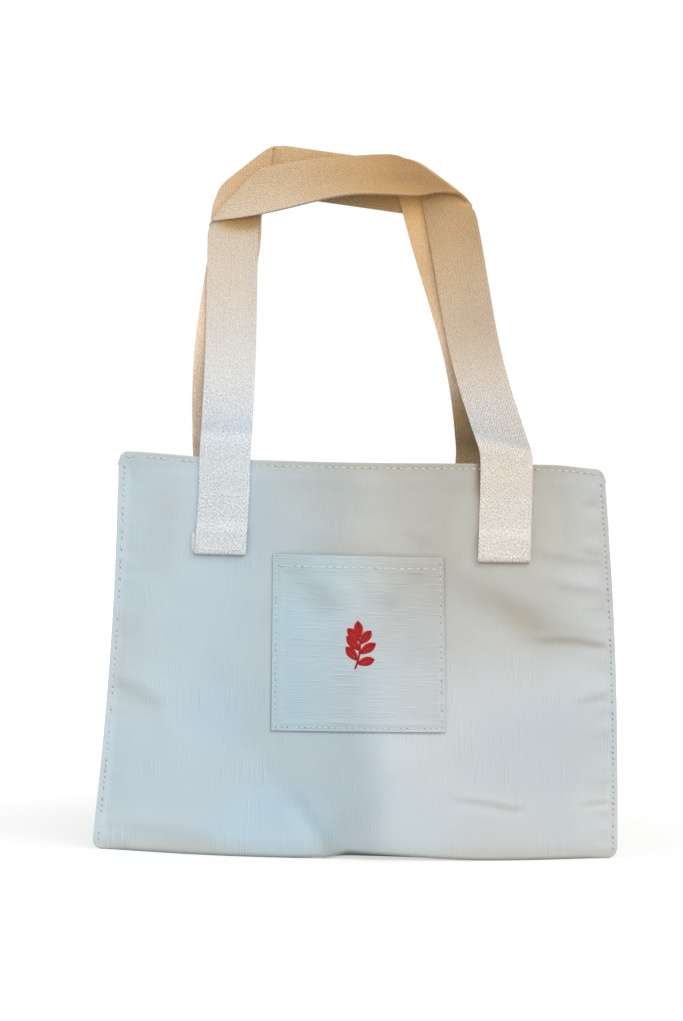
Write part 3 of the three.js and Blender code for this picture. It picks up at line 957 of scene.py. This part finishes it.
class Handle:
    """One length of webbing: tucked end, leg, folded corner, span, folded corner, leg, tucked end."""

    def __init__(self, side, feet, corners, bows, hips, lift, tilt, tuck, lean, ends, points, knees):
        self.side, self.lift, self.tilt, self.tuck = side, lift, tilt, tuck
        self.corners = [Vector((x, BAG_HEIGHT + up)) for x, up in corners]
        self.along = (self.corners[1] - self.corners[0]).normalized()
        self.across = Vector((-self.along.y, self.along.x))
        self.length = (self.corners[1] - self.corners[0]).length
        self.legs = []
        for i, corner in enumerate(self.corners):
            slope = (corner.x - feet[i]) / (corner.y - HINGE_Z - LEG_START - LEG_EASE / 2)
            ahead = self.along * (2 * i - 1)
            crease = (ahead + Vector((-slope, -1)).normalized()).normalized()
            skew = crease.dot(self.along) / crease.dot(self.across)
            self.legs.append({"corner": corner, "slope": slope, "ahead": ahead, "crease": crease, "skew": skew,
                              "bow": bows[i], "hip": hips[i], "start": i * self.length, "sign": 2 * i - 1,
                              "foot": feet[i], "knee": knees[i], "lean": lean[i], "end": ends[i]})
        self.tips = []
        for leg in self.legs:
            up, down = (self.crease_point(leg, v, past) for v, past in ((0.5, 0), (-0.5, MITRE_LENGTH)))
            fold = (down - up).normalized()
            self.tips.append((up, fold, -leg["ahead"]))
            self.tips.append((down, -fold, Vector((-leg["slope"], -1)).normalized()))
        self.points = [round_off * MM for round_off in points]

    def crease_point(self, leg, share, past):
        """The point of a crease where the strip's line at a share of its width has come past it by a length."""
        v = share * STRAP_WIDTH
        flat = self.corners[0] + self.along * self.crease_at(leg, v, past) + self.across * v
        return leg["corner"] + leg["crease"] * (flat - leg["corner"]).dot(leg["crease"])

    def soften(self, p):
        """Rounds off the points of the folds."""
        moved = p.copy()
        for (tip, edge, other), reach in zip(self.tips, self.points):
            inwards = (edge + other).normalized()
            off = p - tip
            a, b = (off.dot((inwards - e * inwards.dot(e)).normalized()) for e in (edge, other))
            near = max(reach - abs(a - b), 0)
            push = near * near / (4 * reach * abs(edge.x * inwards.y - edge.y * inwards.x))
            moved += inwards * push * bell(min(a, b), POINT_DEPTH)
        return moved

    def crease_at(self, leg, v, past):
        return leg["start"] + leg["skew"] * v + leg["sign"] * past * math.hypot(1, leg["skew"])

    def place(self, s, v):
        """The place of a point of the strip: s along it from the left corner, v across it."""
        start, end = (self.crease_at(leg, v, 0) for leg in self.legs)
        share = (s - start) / (end - start)
        swell = smooth(share / SWELL_RISE) * (1 - (1 - clamp((1 - share) / SWELL_FALL)) ** SWELL_POWER)
        tucked, let_out = (smooth((share - at) / over) for at, over in (TUCK_START, TUCK_END))
        tuck = self.tuck * tucked * (1 - let_out) * bell(v + STRAP_WIDTH / 2, 6 * MM)
        up = v * math.cos(self.tilt * swell) + self.lift * swell + tuck
        out = (STRAP_WIDTH / 2 - v) * math.sin(self.tilt * swell)
        leg = self.legs[0] if s < self.length / 2 else self.legs[1]
        flat = self.corners[0] + self.along * s + self.across * up
        bulge = 1 - 1.05 * (2 * abs(v) / STRAP_WIDTH) ** 4
        p, layer = fold_over(flat, leg["corner"], leg["crease"], leg["ahead"], bulge)
        x, z = self.soften(p)
        if layer > 0:
            ease = 1 - clamp((z - HINGE_Z - LEG_START) / LEG_EASE)
            below = max(HINGE_Z + LEG_START - z, 0)
            x += leg["slope"] * (LEG_EASE * ease * ease / 2 + below)
            rising = clamp((z - BAG_HEIGHT) / (leg["corner"].y - BAG_HEIGHT))
            x += leg["bow"] * math.sin(math.pi * rising ** 0.7) ** 2
            hip = bell(leg["corner"].y - HIP_DROP - z, HIP_REACH)
            x += leg["hip"] * hip * layer / (2 * MITRE_RADIUS)
        on_face = face_depth(self.side, x, min(z, BAG_HEIGHT)) + NEAR
        inwards = smooth((z - BAG_HEIGHT) / LEAN_HEIGHT)
        slack = 0.5 * MM * (1 + noise.noise((s * 28, self.side * 3.0, 2.0))) * rise(z - BAG_HEIGHT, 0, 40)
        q = mix(on_face, (HANDLE_GAP + STRAP) / 2, inwards) + 2 * MITRE_RADIUS - layer + out + slack
        if layer > 0:
            q -= knee_dip(leg, x, z)
        return Vector((x, self.side * q, z))

    def leg_end(self, leg, v):
        """Distance along the strip at which a leg comes down to the hinge."""
        a, b = (leg["start"] + leg["sign"] * n * STRAP_WIDTH * 2 for n in (1, 2))
        za, zb = self.place(a, v).z, self.place(b, v).z
        return a + (HINGE_Z - za) * (b - a) / (zb - za)

    def end_point(self, leg, v, off, z, tucked=0.0):
        """A point of a sewn end. The tucked layer of a left end was folded askew and peeks out."""
        z = HINGE_Z + (z - HINGE_Z) * leg["end"]
        x = self.place(self.leg_end(leg, v), v).x + leg["lean"] * (z - HINGE_Z)
        if leg is self.legs[0]:
            x -= PEEK * tucked
        return Vector((x, self.side * (face_depth(self.side, x, z) + off), z))

    def rows(self, v):
        """The strip from its left tip to its right tip at v across it, as (place, distance along)."""
        left, right = self.legs
        ends = [self.leg_end(leg, v) for leg in self.legs]
        (left_low, left_top), (right_low, right_top) = (
            [self.crease_at(leg, v, past) for past in (MITRE_LENGTH, 0)] for leg in self.legs
        )
        line = [(self.end_point(left, v, off, z, t), ends[0] - d) for off, z, d, t in reversed(end_line())]
        strip = spread(ends[0], left_low, LEG_STEPS)[:-1] + spread(left_low, left_top, MITRE_STEPS)[:-1]
        strip += spread(left_top, right_top, SPAN_STEPS)[:-1] + spread(right_top, right_low, MITRE_STEPS)[:-1]
        strip += spread(right_low, ends[1], LEG_STEPS)
        line += [(self.place(s, v), s) for s in strip]
        line += [(self.end_point(right, v, off, z, t), ends[1] + d) for off, z, d, t in end_line()]
        return line


# How much painted warm light tans the webbing at heights in mm: the left leg, the right leg
WARM_LIGHT_LEFT = ((325, 0.0), (381, 0.20), (442, 0.40), (485, 0.56), (512, 0.70))
WARM_LIGHT_RIGHT = ((235, 0.22), (268, 0.24), (275, 0.28), (300, 0.30), (316, 0.24),
              (335, 0.28), (381, 0.54), (442, 0.72), (483, 0.84), (505, 1.0))


def along_steps(steps, at):
    if at <= steps[0][0]:
        return steps[0][1]
    for (a, low), (b, high) in zip(steps, steps[1:]):
        if at <= b:
            return mix(low, high, (at - a) / (b - a))
    return steps[-1][1]


def warm_light_and_shade(face, co, part):
    """Tan of the webbing at a place, as painted warm light: none at the sewn ends and most towards the top. It also
    paints a shadow line at the foot of each sewn end, and the span's shadow on the left leg below it.
    """
    right = rise(co.x, -95, 150)
    tan = mix(along_steps(WARM_LIGHT_LEFT, co.z / MM), along_steps(WARM_LIGHT_RIGHT, co.z / MM), right)
    # A painted shadow line along the folded foot of each sewn end.
    tan = max(tan, 0.36 - 0.36 * rise(co.z - END_FOOT, 0.2, 1.8))
    if face == "back":
        # On the back handle: painted warm light, lighter where the front handle's shadow falls on it, as painted
        # light.
        low = rise(co.z, 330, 40) * (1 - rise(co.z, 400, 60))
        base = mix(0.36, 0.8 - 0.6 * low, rise(co.x, 0, 60))
        base += 0.4 * rise(co.z, 480, 30) * mix(0.25, 1, rise(co.x, -108, 34))
        return max(tan, base * rise(co.z, 222, 80))
    # The span's painted shadow on the left leg just below it.
    from_span_shadow = math.hypot((co.x + 94 * MM) / (25 * MM), (co.z - 477 * MM) / (12 * MM))
    return max(tan, 0.93 - 0.93 * smooth(from_span_shadow - 0.45)) if part == "left" else tan


def strap_shade(face, handle, co, part):
    """How dim a place of the webbing is: over the knees, down the right leg and low on the back one.

    Below 0 it is brighter instead: at the top of the right legs, and a little at the front one's sewn end.
    """
    inner = rise(co.x, 0, 60)
    if face == "back":
        bright = 0.3 * rise(co.z, 355, 25) + 0.6 * rise(co.z, 440, 50)
        low = mix(0.5, 1, rise(co.z, 297, 20)) * (1 - rise(co.z, 305, 42))
        return inner * low - (bright if part == "right" else 0)
    bright = rise(co.z, 484, 16) if part == "right" else 0
    leg = handle.legs[0 if part == "left" else 1]
    knee = min(knee_dip(leg, co.x, co.z) / leg["knee"][1], 1) ** 1.6 if co.z > BAG_HEIGHT else 0
    outer = rise(co.x, -94 if part == "left" else 66, 14)
    outer *= rise(co.z, 360, 30) * (1 - rise(co.z, 470, 20))
    lower = mix(-0.12, 0.75, rise(co.z, 292, 46)) * (1 - rise(co.z, 390, 60))
    return min(knee + inner * lower + 0.5 * outer, 1) - bright


def handle_webbing(face, shape):
    handle = Handle(**shape)
    across = spread(-STRAP_WIDTH / 2, STRAP_WIDTH / 2, STRAP_COLUMNS)
    lines = [handle.rows(v) for v in across]
    if shape["side"] == BACK:
        lines, across = lines[::-1], across[::-1]
    points = [[place for place, _ in row] for row in zip(*lines)]
    flat = [[(v + STRAP_WIDTH / 2, s) for v, (_, s) in zip(across, row)] for row in zip(*lines)]
    piece, spots = cloth_grid(f"{face}_webbing", points, flat)
    folded = [[handle.crease_at(leg, v, 0) for v in across] for leg in handle.legs]

    def part_at(s, column):
        return "left" if s < folded[0][column] else "right" if s > folded[1][column] else "span"

    places = [(points[r][c], part_at(flat[r][c][1], c)) for r, c in spots]
    # The painted tan of warm light and shade, and the painted shade, marked on each vertex.
    mark(piece, "grip", [warm_light_and_shade(face, *place) for place in places])
    mark(piece, "shade", [strap_shade(face, handle, *place) for place in places])
    thicken(piece, STRAP, 0, 0.5 * MM)
    for v, share in zip(piece.data.vertices, piece.data.attributes["shade"].data):
        share.value *= smooth(0.5 - 2 * v.normal.y)
    piece.data.materials.append(front_webbing if face == "front" else back_webbing)
    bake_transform(piece)
    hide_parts(f"{face}_left_strap_end", f"{face}_right_strap_end", f"{face}_handle_strap")
    middle = STRAP_COLUMNS // 2
    length = flat[-1][middle][1] - flat[0][middle][1]
    return handle


handles = {face: handle_webbing(face, shape) for face, shape in HANDLES.items()}


# Sewing

def thread_master():
    """One stitch of unit length along X, arched so that both ends go down into the cloth."""
    bpy.ops.mesh.primitive_uv_sphere_add(segments=6, ring_count=6, radius=1, rotation=(0, math.pi / 2, 0))
    stitch = bpy.context.object
    bpy.ops.object.transform_apply(location=False, rotation=True, scale=False)
    stitch.data.uv_layers[0].name = "thread"
    for v in stitch.data.vertices:
        t = v.co.x
        girth = (1 - abs(t) ** 4) ** 0.5 / max((1 - t * t) ** 0.5, 1e-6) if abs(t) < 0.999 else 0
        v.co = (t * 0.5, v.co.y * girth, v.co.z * girth - 1.15 * t * t)
    bpy.ops.object.shade_smooth()
    return stitch


def hole_master():
    """One needle hole of unit length along X: a shallow dimple, dark with painted shade."""
    bpy.ops.mesh.primitive_uv_sphere_add(segments=6, ring_count=4, radius=0.5)
    hole = bpy.context.object
    hole.data.uv_layers[0].name = "thread"
    bpy.ops.object.mode_set(mode="EDIT")
    bpy.ops.mesh.select_all(action="SELECT")
    bpy.ops.transform.resize(value=(1, 0.7, 0.25))
    bpy.ops.object.mode_set(mode="OBJECT")
    bpy.ops.object.shade_smooth()
    return hole


stitch_master = thread_master()
needle_master = hole_master()


def joined(name, meshes, finish):
    """One piece of many small meshes."""
    copies = [placed(name, mesh) for mesh in meshes]
    piece = copies[0]
    alone(piece)
    for copy in copies:
        copy.select_set(True)
    bpy.ops.object.join()
    piece.name = piece.data.name = name
    piece.data.materials.clear()
    piece.data.materials.append(finish)
    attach(piece, "bag")


def laid(master, middle, ahead, normal, length, girth):
    """A copy of a master's mesh, laid on the cloth along a direction."""
    beside_it = normal.cross(ahead).normalized()
    up = ahead.cross(beside_it)
    turn = Matrix((ahead * length, beside_it * girth, up * girth)).transposed().to_4x4()
    mesh = master.data.copy()
    mesh.transform(Matrix.Translation(middle) @ turn)
    return mesh


def sew(name, stitches, thread, radius, hole=0.0, hollow=needle_hole_shade):
    """Copies of the stitch, each laid from one point to another on the cloth, and before each a needle hole dark
    with painted shade.
    """
    threads, hole_shades = [], []
    for a, b, normal in stitches:
        ahead = (b - a).normalized()
        middle = (a + b) / 2 + normal * (0.45 * radius)
        threads.append(laid(stitch_master, middle, ahead, normal, (b - a).length, radius))
        if hole:
            hole_shades.append(laid(needle_master, a - ahead * (0.45 * hole), ahead, normal, hole, hole))
    joined(name, threads, thread)
    if hole:
        joined(f"{name}_holes", hole_shades, hollow)


def normal_at(surface, a, b, side):
    """Outward normal of a surface(a, b) of points, by small steps."""
    step = 0.6 * MM
    du = surface(a + step, b) - surface(a - step, b)
    dw = surface(a, b + step) - surface(a, b - step)
    normal = du.cross(dw).normalized()
    return normal if normal.y * side > 0 else -normal


def stitch_path(surface, path, side, pitch, fill=0.72, slant=0.0, sink=0.0):
    """Stitches along a path of places on a surface of points, slanted a little, some sunk into the cloth."""
    stitches = []
    for a, b in zip(path, path[1:]):
        count = max(round(math.dist(a, b) / pitch), 1)
        step = Vector((b[0] - a[0], b[1] - a[1])) / count
        over = Vector((-step.y, step.x))
        for i in range(count):
            at = Vector(a) + step * (i + 0.5)
            stray = noise.noise((at.x * 900, at.y * 900, 3.0))
            half = step * (0.5 * fill * (1 + 0.15 * stray)) + over * (0.5 * fill * (slant + 0.1 * stray))
            normal = normal_at(surface, at.x, at.y, side)
            pull = normal * (sink * noise.noise((at.x * 310, at.y * 310, 8.0)))
            stitches.append((surface(*(at - half)) + pull, surface(*(at + half)) + pull, normal))
    return stitches


SEAM_PITCH = 4.1 * MM
THREAD = 0.42 * MM
HOLE = 1.0 * MM
DRAWN_HOLE = 2.1 * MM


def body_rows(face, side):
    """The hem row below the mouth and the rows beside the two side seams."""
    def surface(x, z):
        return cloth_point(side, x, z, -SEAM_DIP)

    hem_z = BAG_HEIGHT - STITCH_INSET
    reach = half_width(hem_z) - STITCH_INSET - 1 * MM
    hem = stitch_path(surface, [(-reach, hem_z), (reach, hem_z)], side, 5.4 * MM, fill=0.66, sink=0.5 * MM)
    drawn = []
    for edge in (-1, 1):
        heights = spread(7 * MM, hem_z - SEAM_PITCH, 6)
        path = [(edge * (half_width(z) - STITCH_INSET), z) for z in heights]
        if edge * side < 0:
            drawn = stitch_path(surface, path, side, SEAM_PITCH, fill=0.55, slant=0.42, sink=0.25 * MM)
        else:
            hem += stitch_path(surface, path, side, SEAM_PITCH, slant=0.15, sink=1.1 * MM)
    sew(f"{face}_seam_rows", hem, pale_thread, THREAD, HOLE)
    sew(f"{face}_drawn_row", drawn, pale_thread, 0.3 * MM, DRAWN_HOLE, drawn_hole_shade)


for face, shape in HANDLES.items():
    body_rows(face, shape["side"])


def pocket_rows():
    """The row under the pocket's mouth, and the row round its sides and foot that holds it to the bag."""
    def surface(x, z):
        return pocket_point(x / (POCKET_WIDTH / 2), z / POCKET_HEIGHT)

    side = POCKET_WIDTH / 2 - POCKET_STITCH
    foot, mouth = POCKET_STITCH, POCKET_HEIGHT - 1.5 * MM
    hem = POCKET_HEIGHT - POCKET_HEM_STITCH
    path = [(-side, mouth), (-side, foot), (side, foot), (side, mouth)]
    stitches = stitch_path(surface, path, FRONT, 4.4 * MM, fill=0.6, sink=0.6 * MM)
    sew("pocket_rows", stitches, pale_thread, 0.33 * MM, HOLE)
    row = [(-side + 2 * MM, hem), (side - 2 * MM, hem)]
    stitches = stitch_path(surface, row, FRONT, 6.0 * MM, fill=0.8, sink=0.5 * MM)
    sew("pocket_hem_row", stitches, pale_thread, THREAD, HOLE)


pocket_rows()


def boxed_crosses(face, handle):
    """The box and cross that hold down the two ends of a handle."""
    stitches = []
    for leg in handle.legs:
        def surface(v, z, leg=leg):
            return handle.end_point(leg, v, end_off(z) + STRAP / 2, z)

        side = STRAP_WIDTH / 2 - 3.6 * MM
        low, high = END_FOOT + 4 * MM, HINGE_Z - 2.4 * MM
        box = [(-side, low), (side, low), (side, high), (-side, high), (-side, low)]
        stitches += stitch_path(surface, box, handle.side, 3.3 * MM)
        for a, b in ((1, -1), (-1, 1)):
            cross = [(a * (side - 1 * MM), low + 1 * MM), (b * (side - 1 * MM), high - 1 * MM)]
            stitches += stitch_path(surface, cross, handle.side, 3.3 * MM)
    sew(f"{face}_boxed_crosses", stitches, cream_thread, 0.5 * MM)


for face, handle in handles.items():
    boxed_crosses(face, handle)


# The stitched sprig on the pocket

SPRIG = Vector((1.5 * MM, POCKET_FOOT + 65 * MM))


def sprig():
    """A small leafy sprig in satin stitch: a bowed stem, leaves in pairs and one at the tip."""
    def surface(x, z):
        return pocket_point(x / (POCKET_WIDTH / 2), (z - POCKET_FOOT) / POCKET_HEIGHT)

    def stem(t):
        return SPRIG + Vector((-4 + 10 * t - 6.5 * t * t, -18 + 23 * t)) * MM

    stitches = []

    def satin(a, b):
        middle = (a + b) / 2
        normal = normal_at(surface, middle.x, middle.y, FRONT)
        stitches.append((surface(a.x, a.y), surface(b.x, b.y), normal))

    def leaf(foot, angle, length, width):
        axis = Vector((math.cos(angle), math.sin(angle)))
        beside_axis = Vector((-axis.y, axis.x))
        count = round(length / (0.66 * MM))
        for half in (-1, 1):
            for i in range(1, count):
                t = i / count
                reach = width * math.sin(math.pi * t ** 0.8) ** 0.8
                spine = foot + axis * (length * t)
                rim = spine + beside_axis * (half * reach) + axis * (0.6 * reach)
                if reach > 0.5 * MM:
                    satin(spine - beside_axis * (half * 0.25 * MM), rim)

    def heading(t):
        return math.atan2(*(stem(t + 0.05) - stem(t - 0.05)).yx)

    steps = spread(0, 1, 26)
    for a, b in zip(steps, steps[1:]):
        direction = (stem(b) - stem(a)).normalized()
        across = Vector((-direction.y, direction.x)) * 0.9 * MM
        middle = (stem(a) + stem(b)) / 2
        satin(middle - across - direction * 0.5 * MM, middle + across + direction * 0.5 * MM)
    for t, turn, length in ((0.22, 58, 13.5), (0.55, 50, 14.5), (0.86, 42, 13.0)):
        for hand in (-1, 1):
            leaf(stem(t + 0.05 * hand), heading(t) + hand * math.radians(turn), length * MM, 3.7 * MM)
    leaf(stem(1.0), heading(0.95), 13 * MM, 3.6 * MM)
    sew("pocket_sprig", stitches, red_thread, 0.46 * MM)


sprig()
bpy.data.objects.remove(stitch_master)
bpy.data.objects.remove(needle_master)


# Floor, light and camera

def studio_floor():
    """A pale floor, whiter away from the bag, that keeps the bag's soft shadow."""
    bpy.ops.mesh.primitive_plane_add(size=30, location=(0, 8, 0))
    floor = bpy.context.object
    floor.name = "studio_floor"
    bpy.ops.object.transform_apply(location=True, rotation=True, scale=True)
    finish = Finish(bpy.data.materials.new("floor_paint"))
    finish.set(base_color=(0.42, 0.42, 0.42), roughness=0.9, specular_ior_level=0.1)
    x, y = finish.place()[:2]
    far = (x * x + y * y).between(0.02, 0.6)
    glow = finish.shade((1.0, 1.0, 1.0), finish.looked_at() * (far * 0.34 + 0.6))
    finish.set(emission_color=glow, emission_strength=1.0)
    floor.data.materials.append(finish.owner)


# Softboxes: place, size, power and colour
SOFTBOXES = {
    "right_softbox": ((1.5, -2.2, 2.6), 3.2, 73, (1.0, 0.975, 0.94)),
    "left_softbox": ((-2.1, -2.2, 1.0), 2.0, 18, (0.92, 0.975, 1.0)),
    "front_softbox": ((0.2, -3.2, 0.7), 1.4, 16, (1.0, 0.985, 0.96)),
}
AIR_LIGHT = 0.54
MIDDLE_OF_BAG = Vector((0, 0, 0.22))


def studio_light():
    """White air all round, that lights less than it shows, and three softboxes turned to the bag."""
    world = bpy.data.worlds.new("studio")
    bpy.context.scene.world = world
    air = Finish(world, "Background")
    air.set(color=(1.0, 1.0, 1.0), strength=air.looked_at() * (1 - AIR_LIGHT) + AIR_LIGHT)
    for name, (place, size, power, colour) in SOFTBOXES.items():
        lamp = bpy.data.lights.new(name, "AREA")
        lamp.shape = "SQUARE"
        lamp.size = size
        lamp.energy = power
        lamp.color = colour
        softbox = placed(name, lamp)
        softbox.location = place
        softbox.rotation_euler = (MIDDLE_OF_BAG - Vector(place)).to_track_quat("-Z", "Y").to_euler()


# Camera: where it stands, how far it looks down and how far it is rolled, in degrees
CAMERA_PLACE = (-0.0146, -2.0, 0.2689)
LOOK_DOWN = 0.29
ROLL = 1.06
IMAGE_HEIGHT = 1021
FOCAL_PIXELS = 2649


def photo_camera():
    data = bpy.data.cameras.new("photo_camera")
    data.sensor_width = 36
    data.lens = data.sensor_width * FOCAL_PIXELS / IMAGE_HEIGHT
    camera = placed("photo_camera", data)
    level = Matrix.Rotation(math.radians(90 - LOOK_DOWN), 4, "X")
    roll = Matrix.Rotation(math.radians(ROLL), 4, "Z")
    camera.matrix_world = Matrix.Translation(CAMERA_PLACE) @ level @ roll
    bpy.context.scene.camera = camera


studio_floor()
studio_light()
photo_camera()
bpy.context.scene.view_settings.view_transform = "Standard"
